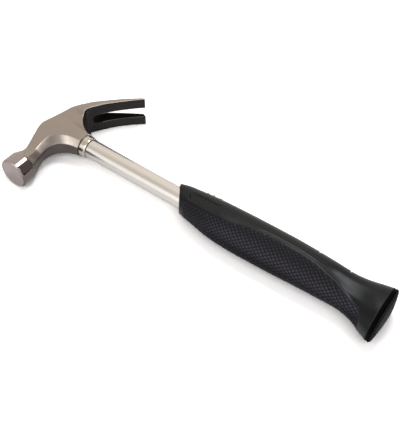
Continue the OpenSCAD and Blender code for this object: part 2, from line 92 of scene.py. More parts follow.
claw_shares = [
    [0.205, 0.375, 0.190, 0.236, 0.56, 0.86, 0.10, 0.11, 0.13],
    [0.278, 0.458, 0.220, 0.310, 0.66, 1.02, 0.10, 0.08, 0.09],
    [0.370, 0.555, 0.302, 0.406, 0.73, 1.05, 0.09, 0.07, 0.08],
    [0.485, 0.652, 0.426, 0.538, 0.79, 1.02, 0.09, 0.07, 0.08],
    [0.632, 0.768, 0.585, 0.676, 0.86, 0.94, 0.08, 0.06, 0.07],
    [0.795, 0.885, 0.790, 0.832, 0.93, 0.95, 0.07, 0.06, 0.07],
    [0.970, 1.000, 1.024, 0.992, 1.00, 1.00, 0.05, 0.05, 0.05]]
# Sections of the grip: place, half widths to the claw and to the face, half thickness, and at
# the butt how square the section is
grip_body_shares = [
    [0.042, 0.710, 0.705, 0.850], [0.094, 0.795, 0.798, 0.895], [0.157, 0.868, 0.930, 0.950],
    [0.230, 0.915, 1.026, 0.990], [0.325, 0.958, 1.060, 1.000], [0.429, 0.988, 1.040, 1.000],
    [0.534, 1.006, 0.996, 0.985], [0.639, 0.980, 0.939, 0.945], [0.733, 0.930, 0.907, 0.905],
    [0.806, 0.866, 0.902, 0.885]]
grip_butt_shares = [
    [0.853, 0.672, 0.735, 0.745, 0.20], [0.893, 0.718, 0.835, 0.812, 0.45],
    [0.927, 0.768, 0.985, 0.892, 0.75], [0.957, 0.806, 1.100, 0.958, 1.00]]
butt_offset_share, lean_share, butt_flat_share = 0.16, 0.32, 0.36
grip_squareness, butt_squareness, nose_round_share, nose_claw_share = 2.4, 2.5, 0.45, 0.93
corner_share = 0.29
slot_top_start_share, slot_under_start_share = 0.705, 0.525
slot_top_round_share, slot_under_round_share = 0.04, 0.12
slot_spacing, slot_end_share, overrun = 1.7, 1.06, 2.0


# ---------------------------------------------------------------- curves and meshes

def between(a, b, share):
    return a + (b - a) * share


def unit(v):
    return v / np.linalg.norm(v)


def smooth_rows(rows, steps):
    """Catmull-Rom curve through rows of numbers."""
    rows = np.asarray(rows, float)
    last = len(rows) - 1
    out = []
    for i in range(last):
        a, b, c, d = rows[max(i - 1, 0)], rows[i], rows[i + 1], rows[min(i + 2, last)]
        for j in range(steps):
            t = j / steps
            out.append((2 * b + (c - a) * t + (2 * a - 5 * b + 4 * c - d) * t * t
                        + (3 * b - a - 3 * c + d) * t ** 3) / 2)
    out.append(rows[-1])
    return np.array(out)


def smoothstep(lo, hi, x):
    t = np.clip((np.asarray(x, float) - lo) / (hi - lo), 0, 1)
    return t * t * (3 - 2 * t)


def window(x, rise_from, rise_to, fall_from, fall_to):
    """1 over a stretch, and 0 on both sides of it."""
    return smoothstep(rise_from, rise_to, x) * (1 - smoothstep(fall_from, fall_to, x))


def crest(distance, width):
    """1 on a line, falling off softly on both sides."""
    return np.exp(-(distance / width) ** 2)


def rounded_corner(start, corner, end, steps):
    """Points of a curve from start to end that bends towards the corner."""
    return [(1 - t) ** 2 * start + 2 * t * (1 - t) * corner + t * t * end
            for t in (j / steps for j in range(steps + 1))]


def make_mesh(name, points, faces, face_materials=None):
    """Mesh object from working-frame points in millimetres."""
    mesh = bpy.data.meshes.new(name)
    place = (np.asarray(points, float) + SHIFT) * MM
    mesh.from_pydata([tuple(p) for p in place], [], [tuple(f) for f in faces])
    if face_materials is not None:
        mesh.polygons.foreach_set("material_index", np.asarray(face_materials, dtype=np.int32))
    mesh.update()
    ob = bpy.data.objects.new(name, mesh)
    bpy.context.scene.collection.objects.link(ob)
    return ob


def smooth_shade(ob, angle):
    """Smooth shading, with edges sharper than this angle in degrees kept sharp."""
    ob.data.polygons.foreach_set("use_smooth", [True] * len(ob.data.polygons))
    ob.data.set_sharp_from_angle(angle=math.radians(angle))
    ob.data.update()


def point_attribute(mesh, name, values):
    """A number at each point of the mesh, for the materials."""
    mesh.attributes.new(name, "FLOAT", "POINT").data.foreach_set("value", values)


def grid_faces(rows, sides):
    """Quads of a tube of rings with the same number of points, wound for rings that run on."""
    faces = []
    for i in range(rows - 1):
        for k in range(sides):
            a, b = i * sides + k, i * sides + (k + 1) % sides
            faces.append((a, a + sides, b + sides, b))
    return faces


def loft(name, rings, side_material, cap_materials):
    """Closed solid through rings. side_material gives the slot of face k of row i."""
    rings = np.asarray(rings, float)
    rows, sides = rings.shape[:2]
    faces = grid_faces(rows, sides)
    slots = [side_material(i, k) for i in range(rows - 1) for k in range(sides)]
    faces.append(tuple(range(sides)))
    faces.append(tuple((rows - 1) * sides + k for k in reversed(range(sides))))
    return make_mesh(name, rings.reshape(-1, 3), faces, slots + list(cap_materials))


def rounded_profile(points, radii, steps):
    """Open profile whose inner corners are rounded by the radii."""
    points = [np.asarray(p, float) for p in points]
    out = [points[0]]
    for a, p, b, radius in zip(points, points[1:], points[2:], radii[1:]):
        if radius <= 0:
            out.append(p)
            continue
        before, after = np.linalg.norm(a - p), np.linalg.norm(b - p)
        cut = min(radius, 0.48 * before, 0.48 * after)
        out += rounded_corner(p + (a - p) / before * cut, p, p + (b - p) / after * cut, steps)
    out.append(points[-1])
    return np.array(out)


def turned(name, profile, axis, sides):
    """Closed ring of revolution about the handle's axis, x, or the head's, y."""
    ang = np.linspace(0, 2 * math.pi, sides, endpoint=False)
    prof = np.asarray(profile, float)
    pts = np.zeros((len(prof), sides, 3))
    along, across, sign = (0, 1, 1) if axis == "x" else (1, 0, -1)
    pts[..., along] = sign * prof[:, :1]
    pts[..., across] = prof[:, 1:] * np.cos(ang)
    pts[..., 2] = prof[:, 1:] * np.sin(ang)
    last = (len(prof) - 1) * sides
    faces = grid_faces(len(prof), sides)
    faces += [(last + k, k, (k + 1) % sides, last + (k + 1) % sides) for k in range(sides)]
    return outward(make_mesh(name, pts.reshape(-1, 3), faces))


def outward(ob):
    """Face normals to the outside."""
    bm = bmesh.new()
    bm.from_mesh(ob.data)
    bmesh.ops.recalc_face_normals(bm, faces=bm.faces)
    bm.to_mesh(ob.data)
    bm.free()
    ob.data.update()
    return ob


def give(ob, materials):
    for material in materials:
        ob.data.materials.append(material)
    return ob


def cut_or_join(ob, other, operation):
    """Boolean of the object with another one, which is used up."""
    mod = ob.modifiers.new("bool", "BOOLEAN")
    mod.operation = operation
    mod.object = other
    mod.solver = "EXACT"
    mod.material_mode = "TRANSFER"
    dg = bpy.context.evaluated_depsgraph_get()
    mesh = bpy.data.meshes.new_from_object(ob.evaluated_get(dg))
    ob.modifiers.clear()
    old = ob.data
    ob.data = mesh
    bpy.data.meshes.remove(old)
    bpy.data.objects.remove(other, do_unlink=True)
    return ob


# ---------------------------------------------------------------- materials

class Nodes:
    """Short calls for the nodes that the materials, the floor and the world share."""

    def __init__(self, tree, coordinates="Object"):
        self.tree = tree
        self.place = self.new("TexCoord").outputs[coordinates]

    def new(self, kind):
        return self.tree.nodes.new("ShaderNode" + kind)

    def feed(self, value, socket):
        """Links a socket to another, or sets it to a number, a vector or a colour."""
        if isinstance(value, bpy.types.NodeSocket):
            self.tree.links.new(value, socket)
        elif socket.type == "RGBA":
            socket.default_value = (*value, 1)
        else:
            socket.default_value = value

    def scaled(self, scale):
        n = self.new("Mapping")
        self.feed(scale, n.inputs["Scale"])
        self.feed(self.place, n.inputs["Vector"])
        return n.outputs["Vector"]

    def part(self, axis):
        n = self.new("SeparateXYZ")
        self.feed(self.place, n.inputs[0])
        return n.outputs[axis]

    def noise(self, scale, detail, roughness, vector=None):
        n = self.new("TexNoise")
        for key, v in (("Scale", scale), ("Detail", detail), ("Roughness", roughness),
                       ("Vector", vector or self.place)):
            self.feed(v, n.inputs[key])
        return n.outputs["Fac"]

    def ramp(self, value, lo, hi, out_lo=0.0, out_hi=1.0):
        """Soft step of a value from lo to hi."""
        n = self.new("MapRange")
        n.interpolation_type = "SMOOTHSTEP"
        for key, v in (("From Min", lo), ("From Max", hi), ("To Min", out_lo),
                       ("To Max", out_hi), ("Value", value)):
            self.feed(v, n.inputs[key])
        return n.outputs["Result"]

    def math(self, op, a, b):
        n = self.new("Math")
        n.operation = op
        self.feed(a, n.inputs[0])
        self.feed(b, n.inputs[1])
        return n.outputs[0]

    def vector_math(self, op, output, *vectors):
        n = self.new("VectorMath")
        n.operation = op
        for vector, socket in zip(vectors, n.inputs):
            self.feed(vector, socket)
        return n.outputs[output]

    def mix(self, share, a, b):
        """Colour that goes from a to b."""
        n = self.new("Mix")
        n.data_type = "RGBA"
        self.feed(share, n.inputs["Factor"])
        for colour, socket in zip((a, b), [i for i in n.inputs if i.type == "RGBA"]):
            self.feed(colour, socket)
        return [o for o in n.outputs if o.type == "RGBA"][0]

    def attribute(self, name):
        n = self.new("Attribute")
        n.attribute_name = name
        return n.outputs["Fac"]

    def bump(self, height, strength, distance):
        n = self.new("Bump")
        for key, v in (("Strength", strength), ("Distance", distance), ("Height", height)):
            self.feed(v, n.inputs[key])
        return n.outputs["Normal"]

    def rays(self, *names):
        """1 for the kinds of ray named, and 0 for the others."""
        path = self.new("LightPath")
        found = path.outputs[names[0]]
        for name in names[1:]:
            found = self.math("MAXIMUM", found, path.outputs[name])
        return found


def new_material(name, metallic=0.0):
    """A material, its nodes, and a call that sets the shader's inputs."""
    m = bpy.data.materials.new(name)
    m.use_nodes = True
    shader = m.node_tree.nodes["Principled BSDF"]
    shader.inputs["Metallic"].default_value = metallic
    n = Nodes(m.node_tree)

    def finish(**inputs):
        for key, value in inputs.items():
            n.feed(value, shader.inputs[key.replace("_", " ")])
        return m

    return n, finish


def steel_material(name, low, high, rough, grain):
    """Forged steel, ground and polished, with fine lines across the head."""
    n, finish = new_material(name, 1.0)
    lines = n.noise(1.0, 3.0, 0.6, n.scaled((260, 2600, 2600)))
    speckle = n.noise(2400, 2.0, 0.5)
    clouds = n.noise(38, 2.0, 0.5)
    colour = n.mix(n.ramp(lines, 0.25, 0.75), low, high)
    colour = n.mix(n.ramp(clouds, 0.3, 0.7, 0.0, 0.5), colour, low)
    # Painted highlight: a bright line on the steel where it meets the black lacquer
    edge = n.ramp(n.attribute("border_highlight"), 0.1, 0.6)
    return finish(Base_Color=n.mix(edge, colour, (0.68, 0.64, 0.60)),
                  Roughness=n.ramp(speckle, 0.3, 0.7, rough, rough + 0.05),
                  Normal=n.bump(n.math("ADD", lines, speckle), grain, 0.0001))


def bell_material():
    """Turned and polished steel of the bell: smoother, with faint rings, and darker low down,
    which is painted shade.
    """
    n, finish = new_material("bell_steel_polished", 1.0)
    rings = n.noise(1.0, 3.0, 0.5, n.scaled((25, 2600, 25)))
    clouds = n.noise(60, 3.0, 0.5)
    colour = n.mix(n.ramp(rings, 0.3, 0.7), (0.290, 0.248, 0.235), (0.320, 0.275, 0.260))
    # Painted shade: the colour darkens from a little above the bell's axis downwards
    height = n.math("ADD", n.part(2), n.math("MULTIPLY", clouds, 0.002))
    return finish(Base_Color=n.mix(n.ramp(height, 0.0215, 0.0265), (0.155, 0.128, 0.122), colour),
                  Roughness=n.ramp(clouds, 0.3, 0.7, 0.08, 0.11))


def face_material():
    """Ground striking face: satin, faintly cloudy."""
    n, finish = new_material("face_steel_ground", 1.0)
    clouds = n.noise(180, 5.0, 0.6)
    colour = n.mix(n.ramp(clouds, 0.3, 0.7), (0.345, 0.302, 0.298), (0.378, 0.332, 0.327))
    return finish(Base_Color=colour, Roughness=n.ramp(clouds, 0.3, 0.7, 0.30, 0.38),
                  Normal=n.bump(n.noise(2200, 2.0, 0.5), 0.08, 0.0001))


def lacquer_material():
    """Black lacquer over the raw forging, worn to steel along its edges."""
    n, finish = new_material("black_lacquer")
    grain = n.noise(900, 4.0, 0.6)
    pits = n.noise(260, 3.0, 0.6)
    wear_and_painted_sheen = n.ramp(n.math("ADD", n.attribute("wear"), n.math("MULTIPLY", grain, 0.5)), 1.05, 1.3)
    rubbed = n.math("ADD", n.attribute("rubbed"), n.math("MULTIPLY", grain, 0.12))
    rubbed = n.ramp(rubbed, 0.45, 0.80)
    paint = n.mix(n.ramp(pits, 0.3, 0.75), (0.008, 0.0065, 0.006), (0.015, 0.012, 0.011))
    paint = n.mix(wear_and_painted_sheen, paint, (0.11, 0.10, 0.095))
    return finish(Base_Color=n.mix(rubbed, paint, (0.20, 0.185, 0.175)),
                  Metallic=n.math("MULTIPLY", n.math("MAXIMUM", wear_and_painted_sheen, rubbed), 0.85),
                  Specular_IOR_Level=0.26, Roughness=n.ramp(pits, 0.3, 0.7, 0.34, 0.46),
                  Normal=n.bump(grain, 0.20, 0.0002))


def slot_shade_material():
    """Black lacquer of the slot's walls, darker and duller than elsewhere: painted shade in the
    deep slot.
    """
    n, finish = new_material("slot_black")
    grain = n.noise(700, 3.0, 0.6)
    colour = n.mix(n.ramp(grain, 0.3, 0.7), (0.0015, 0.0013, 0.0015), (0.004, 0.0035, 0.0035))
    return finish(Base_Color=colour, Specular_IOR_Level=0.06,
                  Roughness=n.ramp(grain, 0.3, 0.7, 0.5, 0.65),
                  Normal=n.bump(grain, 0.15, 0.0002))


def plate_material(name, low, high, rough):
    """Nickel chrome plate on drawn tube, with faint lines along the handle."""
    n, finish = new_material(name, 1.0)
    lines = n.noise(1.0, 3.0, 0.5, n.scaled((12, 1500, 1500)))
    clouds = n.noise(70, 3.0, 0.5)
    return finish(Base_Color=n.mix(n.ramp(lines, 0.3, 0.7), low, high),
                  Roughness=n.ramp(clouds, 0.3, 0.7, rough, rough + 0.02),
                  Normal=n.bump(lines, 0.03, 0.0001))


def dark_gap_material():
    """Dirt and old polish in a seam."""
    n, finish = new_material("grime")
    spots = n.noise(700, 3.0, 0.6)
    colour = n.mix(n.ramp(spots, 0.3, 0.7), (0.010, 0.009, 0.008), (0.03, 0.027, 0.024))
    return finish(Base_Color=colour, Roughness=0.7)


def rubber_material():
    """Smooth moulded rubber of the back, the butt and the nose."""
    n, finish = new_material("black_rubber_smooth")
    grain = n.noise(1500, 3.0, 0.6)
    clouds = n.noise(55, 4.0, 0.55)
    body = n.mix(n.ramp(clouds, 0.3, 0.7), (0.0020, 0.0023, 0.0027), (0.0038, 0.0043, 0.0048))
    # The narrow back is paler grey, and the fine ridge has a painted highlight
    body = n.mix(n.attribute("pale_back"), body, (0.0075, 0.0084, 0.0092))
    body = n.mix(n.attribute("edge"), body, (0.070, 0.077, 0.085))
    # Painted shade: near black in the hollows, the panel's outlining groove and the butt's dark
    # ring
    return finish(Base_Color=n.mix(n.attribute("hollow_shade"), body, (0.0004, 0.0004, 0.0005)),
                  Specular_IOR_Level=0.19, Specular_Tint=(0.90, 0.955, 1.0),
                  Roughness=n.ramp(clouds, 0.3, 0.7, 0.26, 0.32),
                  Normal=n.bump(grain, 0.14, 0.0002))


def knurl_material():
    """The cut diamonds: satin tops over hollows darkened with painted shade, and a painted sheen
    band across the tops.
    """
    n, finish = new_material("black_rubber_knurled")
    grain = n.noise(1500, 3.0, 0.6)
    # Painted sheen and painted shade on the knurl's tops, from the grip's attribute
    wear_and_painted_sheen = n.math("MULTIPLY", n.attribute("wear_and_painted_sheen"), n.ramp(grain, 0.25, 0.6, 0.5, 1.0))
    tops = n.mix(wear_and_painted_sheen, (0.008, 0.0075, 0.0115), (0.056, 0.053, 0.071))
    return finish(Base_Color=n.mix(n.attribute("hollow_shade"), tops, (0.0004, 0.0004, 0.0005)),
                  Specular_IOR_Level=0.10, Roughness=n.ramp(grain, 0.3, 0.7, 0.30, 0.45),
                  Normal=n.bump(grain, 0.3, 0.0003))


def butt_material():
    """Matt rubber of the rim and the end, with fine moulded grain."""
    n, finish = new_material("black_rubber_matt")
    grain = n.noise(900, 3.0, 0.6)
    body = n.mix(n.ramp(grain, 0.3, 0.7), (0.027, 0.0262, 0.0258), (0.040, 0.039, 0.038))
    # Painted shade: near black in the dark ring round the rim and the edge of the end
    return finish(Base_Color=n.mix(n.attribute("hollow_shade"), body, (0.0006, 0.0006, 0.0007)),
                  Specular_IOR_Level=0.03, Roughness=n.ramp(grain, 0.3, 0.7, 0.55, 0.7),
                  Normal=n.bump(grain, 0.4, 0.0004))


def plain_material(name, low, high, metallic, rough):
    n, finish = new_material(name, metallic)
    clouds = n.noise(300, 4.0, 0.6)
    return finish(Base_Color=n.mix(n.ramp(clouds, 0.3, 0.7), low, high),
                  Roughness=n.ramp(clouds, 0.3, 0.7, rough, rough + 0.12))


# ---------------------------------------------------------------- hammer head

STEEL, LACQUER, BELL, FACE, STEEL_SHADED, SLOT_SHADE = range(6)
head_materials = (
    steel_material("forged_steel_polished", (0.280, 0.243, 0.218), (0.312, 0.271, 0.243),
                   0.27, 0.05),
    lacquer_material(), bell_material(), face_material(),
    # Painted shade: a darker, rougher copy of the polished steel, for the neck's and throat's
    # walls on the handle's side
    steel_material("steel_painted_shade", (0.098, 0.086, 0.083), (0.126, 0.110, 0.106), 0.36, 0.12),
    slot_shade_material())


def neck_row(s):
    crown_half = between(neck_w / 2, bell_r * neck_end_share, s[1])
    throat_half = between(neck_w / 2, bell_r * neck_end_share, s[2])
    half_t = between(neck_t / 2, bell_r * neck_end_thick_share, s[2])
    return [-crown_half, -neck_reach * s[0], throat_half, -neck_reach * s[0], half_t, half_t,
            crown_half * s[3], throat_half * neck_throat_bevel_share,
            half_t * neck_bevel_depth_share]


def throat_row(s):
    return [-between(neck_w / 2, crown_rise, s[0]), -neck_reach * s[1],
            between(neck_w / 2, socket_drop, s[2]), -between(socket_r, neck_reach, s[3]),
            between(neck_t / 2, cheek_t / 2, s[4]), between(neck_t / 2, cheek_t / 2, s[5]),
            cheek_t / 2 * s[6], cheek_t / 2 * s[7], cheek_t / 2 * s[8]]


def claw_row(s, drop):
    return [between(-crown_rise, tip_drop, s[0]), claw_reach * s[1],
            drop * s[2], between(socket_r, claw_reach, s[3]),
            between(cheek_t / 2, claw_w / 2, s[4]), between(cheek_t / 2, claw_w / 2, s[5]),
            cheek_t / 2 * s[6], cheek_t / 2 * s[7], cheek_t / 2 * s[8]]


head_steps = 12
face_rows = smooth_rows([neck_row(s) for s in neck_shares]
                        + [throat_row(s) for s in throat_shares], head_steps)
claw_rows = smooth_rows([claw_row(s, socket_drop) for s in notch_shares]
                        + [claw_row(s, tip_drop) for s in claw_shares], head_steps)

# Corners of a ring, from the crown down one side and up the other. How far each is cut back
# for its rounding, and the parts of the side after it
corner_cut = [1.3, 1.3, 1.3, 0.55, 0.6, 0.6, 0.55, 1.3, 1.3, 1.3]
side_parts = [1, 1, 10, 3, 24, 3, 10, 1, 1, 8]
corner_steps = 3
under_parts = {("side", 4), ("side", 5), ("corner", 4), ("corner", 5)}


def head_ring(rows, i, mouth, inward):
    """Ring of the head and what each of its points belongs to. At the mouth's row the
    underside's bevel runs along the socket's mouth, to the claw or the face as inward says."""
    row, before, after = rows[i], rows[max(i - 1, 0)], rows[min(i + 1, len(rows) - 1)]
    crown_way = unit(np.array([after[0] - before[0], after[1] - before[1]]))
    under_way = unit(np.array([after[2] - before[2], after[3] - before[3]]))
    crown_in = np.array([crown_way[1], -crown_way[0]])
    under_in = np.array([0, inward]) if i == mouth else np.array([-under_way[1], under_way[0]])
    crown, under = row[0:2], row[2:4]
    crown_edge, under_edge = crown + crown_in * row[6], under + under_in * row[7]
    crown_mid = crown + crown_in * row[6] * corner_share
    crown_z, mid_z, under_z = row[4] - row[6], row[4] - row[6] * corner_share, row[5] - row[8]
    near = [(*crown, crown_z), (*crown_mid, mid_z), (*crown_edge, row[4]),
            (*under_edge, row[5]), (*under, under_z)]
    corners = [np.array(p) for p in near + [(x, y, -z) for x, y, z in reversed(near)]]
    ends = []
    for a, p, b, cut in zip(corners[-1:] + corners, corners, corners[1:] + corners[:1],
                            corner_cut):
        cut_a = min(cut, 0.45 * np.linalg.norm(a - p))
        cut_b = min(cut, 0.45 * np.linalg.norm(b - p))
        ends.append((p + unit(a - p) * cut_a, p, p + unit(b - p) * cut_b))
    ring, tags = [], []
    for k, (start, corner, end) in enumerate(ends):
        ring += rounded_corner(start, corner, end, corner_steps)
        tags += [("corner", k)] * corner_steps + [("side", k)] * side_parts[k]
        following = ends[(k + 1) % len(ends)][0]
        ring += [between(end, following, j / side_parts[k]) for j in range(1, side_parts[k])]
    return ring, tags


def forging_solid():
    """Neck, cheeks, crown and claw in one loft from the bell to the tips."""
    rings, tags = [], []
    for i in range(len(face_rows)):
        ring, tags = head_ring(face_rows, i, len(face_rows) - 1, 1)
        rings.append(ring)
    for i in range(len(claw_rows)):
        ring, tags = head_ring(claw_rows, i, 0, -1)
        rings.append(ring)

    def side_material(i, k):
        if i >= len(face_rows):
            return LACQUER if tags[k] in under_parts | {("side", 3)} else STEEL
        # Walls on the handle's side take the painted-shade copy of the steel
        return STEEL_SHADED if tags[k] in under_parts else STEEL

    return outward(loft("head", rings, side_material, (STEEL, LACQUER)))


# Closed profiles end this far from their axis
axis_r = 0.01


def bell_solid():
    """The bell, with its chamfered face and rounded shoulder."""
    back = neck_reach - bell_shoulder
    bell = turned("bell", rounded_profile([
        (back - 3, axis_r), (back, bell_r - bell_shoulder - 2.4),
        (back, bell_r - bell_shoulder), (neck_reach, bell_r),
        (face_reach - face_chamfer, bell_r), (face_reach, bell_r - face_chamfer),
        (face_reach, axis_r)], [0, 0, 0.5, 0.8, 0.45, 0.4, 0], 6), "y", 192)
    give(bell, head_materials)
    for poly in bell.data.polygons:
        centre = np.mean([bell.data.vertices[v].co for v in poly.vertices], axis=0) / MM - SHIFT
        flat = abs(poly.normal.y) > 0.995 and centre[1] < -face_reach + 0.05
        poly.material_index = FACE if flat else BELL
    return bell


def claw_row_at(place):
    """Row at a place between two rows of the claw."""
    i = int(max(0, min(math.floor(place), len(claw_rows) - 2)))
    return between(claw_rows[i], claw_rows[i + 1], place - i)


def slot_half(root_w, tip_w, share, round_share):
    """Half width of the slot at a share of its length, rounded off at its root."""
    return between(root_w, tip_w, share) / 2 * math.sqrt(
        1 - (1 - min(1, share / round_share)) ** 2)


def slot_solid(ring_count=44, wall_steps=22):
    """What the nail slot takes away: wide on the claw's inner side, narrow on its back."""
    last = len(claw_rows) - 1
    rings = []
    for j in range(1, ring_count + 1):
        share = slot_end_share * (j / ring_count) ** slot_spacing
        top = claw_row_at(last * between(slot_top_start_share, 1, share))[0:2]
        under = claw_row_at(last * between(slot_under_start_share, 1, share))[2:4]
        way = unit(under - top)
        top_half = slot_half(slot_apex_w, slot_top_w, share, slot_top_round_share)
        under_half = slot_half(slot_w, slot_tip_w, share, slot_under_round_share)
        slope = (under_half - top_half) / np.linalg.norm(under - top)
        top_z = max(top_half - slope * overrun, top_half / 2)
        under_z = under_half + slope * overrun
        top, under = top - way * overrun, under + way * overrun
        wall = [np.array((*between(top, under, q / wall_steps),
                          between(top_z, under_z, q / wall_steps)))
                for q in range(wall_steps + 1)]
        rings.append(wall + [w * np.array([1, 1, -1]) for w in reversed(wall)])
    slot = outward(loft("slot", rings, lambda i, k: SLOT_SHADE, (SLOT_SHADE, SLOT_SHADE)))
    return give(slot, head_materials)


def socket_solid():
    """What the blind socket takes away, with its wider chamber for the tube's spread end."""
    lock_end = socket_floor + lock_len
    return give(turned("socket", [
        (socket_floor, axis_r), (socket_floor, bore_r + lock_step),
        (lock_end - lock_step, bore_r + lock_step), (lock_end, bore_r),
        (socket_drop + overrun, bore_r), (socket_drop + overrun, axis_r)], "x", 96),
        head_materials)


def add_wear_and_edge_highlight(ob):
    """Vertex attributes that are 1 where lacquered faces end: at a sharp edge and at the slot,
    for wear, and at the polished steel, for a painted highlight."""
    mesh = ob.data
    wear, rubbed, border_highlight = (np.zeros(len(mesh.vertices)) for _ in range(3))
    edges = {}
    for poly in mesh.polygons:
        for key in poly.edge_keys:
            edges.setdefault(key, []).append(poly)
    sharp = math.cos(math.radians(33))
    for key, polys in edges.items():
        slots = [poly.material_index for poly in polys]
        if len(polys) != 2 or LACQUER not in slots:
            continue
        if STEEL in slots:
            border_highlight[list(key)] = 1
        if polys[0].normal.dot(polys[1].normal) < sharp:
            wear[list(key)] = 1
            if SLOT_SHADE in slots:
                rubbed[list(key)] = 1
    point_attribute(mesh, "wear", wear)
    point_attribute(mesh, "rubbed", rubbed)
    point_attribute(mesh, "border_highlight", border_highlight)


head = give(forging_solid(), head_materials)
head = cut_or_join(head, bell_solid(), "UNION")
head = cut_or_join(head, slot_solid(), "DIFFERENCE")
head = cut_or_join(head, socket_solid(), "DIFFERENCE")
smooth_shade(head, 26)
add_wear_and_edge_highlight(head)
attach(head, "root")
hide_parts("hammer_head")


# ---------------------------------------------------------------- tube, collar, plugs

flared_r = spigot_r + lock_step
lock_end_x = socket_floor + lock_len
tube = turned("tube", rounded_profile([
    (socket_floor + fit_gap, flared_r - tube_wall),
    (socket_floor + fit_gap, flared_r),
    (lock_end_x - lock_step, flared_r),
    (lock_end_x, spigot_r),
    (shoulder_x + fit_gap, spigot_r),
    (shoulder_x + fit_gap, tube_r),
    (tube_end, tube_r),
    (tube_end, tube_r - tube_wall),
    (shoulder_x + swage_len, tube_r - tube_wall),
    (shoulder_x, spigot_r - tube_wall),
    (lock_end_x, spigot_r - tube_wall),
    (lock_end_x - lock_step, flared_r - tube_wall)],
    [0, 0, 0, 0, 0, 0.55, 0, 0, 0, 0, 0, 0], 6), "x", 160)
give(tube, [plate_material("nickel_chrome_plate", (0.575, 0.555, 0.53), (0.625, 0.605, 0.58),
                           0.24)])
smooth_shade(tube, 30)
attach(tube, "root")
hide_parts("shaft_tube")

collar = turned("collar", rounded_profile([
    (socket_drop, bore_r),
    (socket_drop, collar_d / 2 - collar_chamfer),
    (socket_drop + collar_chamfer, collar_d / 2 - 0.03),
    (socket_drop + 0.80 * collar_len, collar_d / 2 - 0.25),
    (shoulder_x - 0.25 * collar_chamfer, collar_tube_d / 2),
    (shoulder_x, collar_tube_d / 2 - 0.4 * collar_chamfer),
    (shoulder_x, bore_r)],
    [0, 0.15, 0.35, 0.4, 0.3, 0.15, 0], 4), "x", 160)
give(collar, [plate_material("bright_plate", (0.47, 0.435, 0.375), (0.53, 0.492, 0.43), 0.15)])
smooth_shade(collar, 30)
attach(collar, "root")
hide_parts("neck_collar")

# Dark seams at both ends of the collar, where polish and dirt have settled
grime = dark_gap_material()
for name, x0, x1, low, high in (
        ("seam_head", socket_drop, socket_drop + 0.45, collar_d / 2 - 1.0, collar_d / 2 - 0.38),
        ("seam_tube", shoulder_x, shoulder_x + 0.75, tube_r - 0.6, tube_r + 0.05)):
    seam = turned(name, rounded_profile([
        (x0, low), (x0, high), (between(x0, x1, 0.6), high), (x1, high - 0.12), (x1, low)],
        [0, 0.1, 0.1, 0.1, 0], 3), "x", 128)
    give(seam, [grime])
    smooth_shade(seam, 40)
    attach(seam, "root")

turned_steel = plain_material("turned_steel", (0.28, 0.27, 0.26), (0.38, 0.37, 0.36), 1.0, 0.35)
black_plastic = plain_material("black_plastic_moulded", (0.03, 0.03, 0.03),
                               (0.045, 0.045, 0.045), 0.0, 0.5)
for node, material in (("locking_plug", turned_steel), ("tube_end_plug", black_plastic)):
    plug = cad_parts[node]
    plug.data.materials.clear()
    give(plug, [material])


# ---------------------------------------------------------------- rubber grip

# Details of the grip in millimetres: places along the handle, and across it from the line
# along the grip's top, positive towards the striking face
grip_sides, row_spacing = 200, 0.5
knurl_pitch_along, knurl_pitch_across, knurl_depth = 4.4, 3.5, 0.7
knurl_start, knurl_full, knurl_stop = 136.6, 138.6, 314.0
ridge_height, ridge_groove_depth, ridge_groove_off = 0.34, 0.25, 1.7
panel_start, panel_fade_x, panel_end, panel_back = 142.4, 166, 173.5, -3.3
panel_depth, panel_groove_depth = 0.55, 0.35
ribs = ((155.2, 0.5), (160.2, 0.8), (166.0, 0.8))
notches, notch_lip = ((258.3, 1.0), (287.2, 0.9)), 0.22
rim_groove_x, rim_groove_depth = 322.9, 0.7
butt_matt_x, butt_dark_x = 321.2, 321.4
scallop_start, scallop_len, scallop_depth, scallop_half_w = 264, 42, 0.86, 5.5
# Edge of the knurled side: place along the handle, place across it
edge_line = np.array([
    [130, 8.4], [141.9, 8.0], [170, 7.7], [185.6, 6.4], [195, 4.1], [201.3, 2.7], [207.5, 1.6],
    [216.3, 0.0], [227.5, -1.0], [245.8, -1.0], [258.3, -0.1], [264.5, 0.9], [270.8, 2.8],
    [277, 4.2], [283.3, 5.7], [289.5, 8.4], [295.8, 11.0], [302, 14.0], [307.6, 16.3],
    [310.8, 19.0], [312.8, 22.8], [313.6, 27.0], [313.9, 32.0], [314.0, 60.0]])


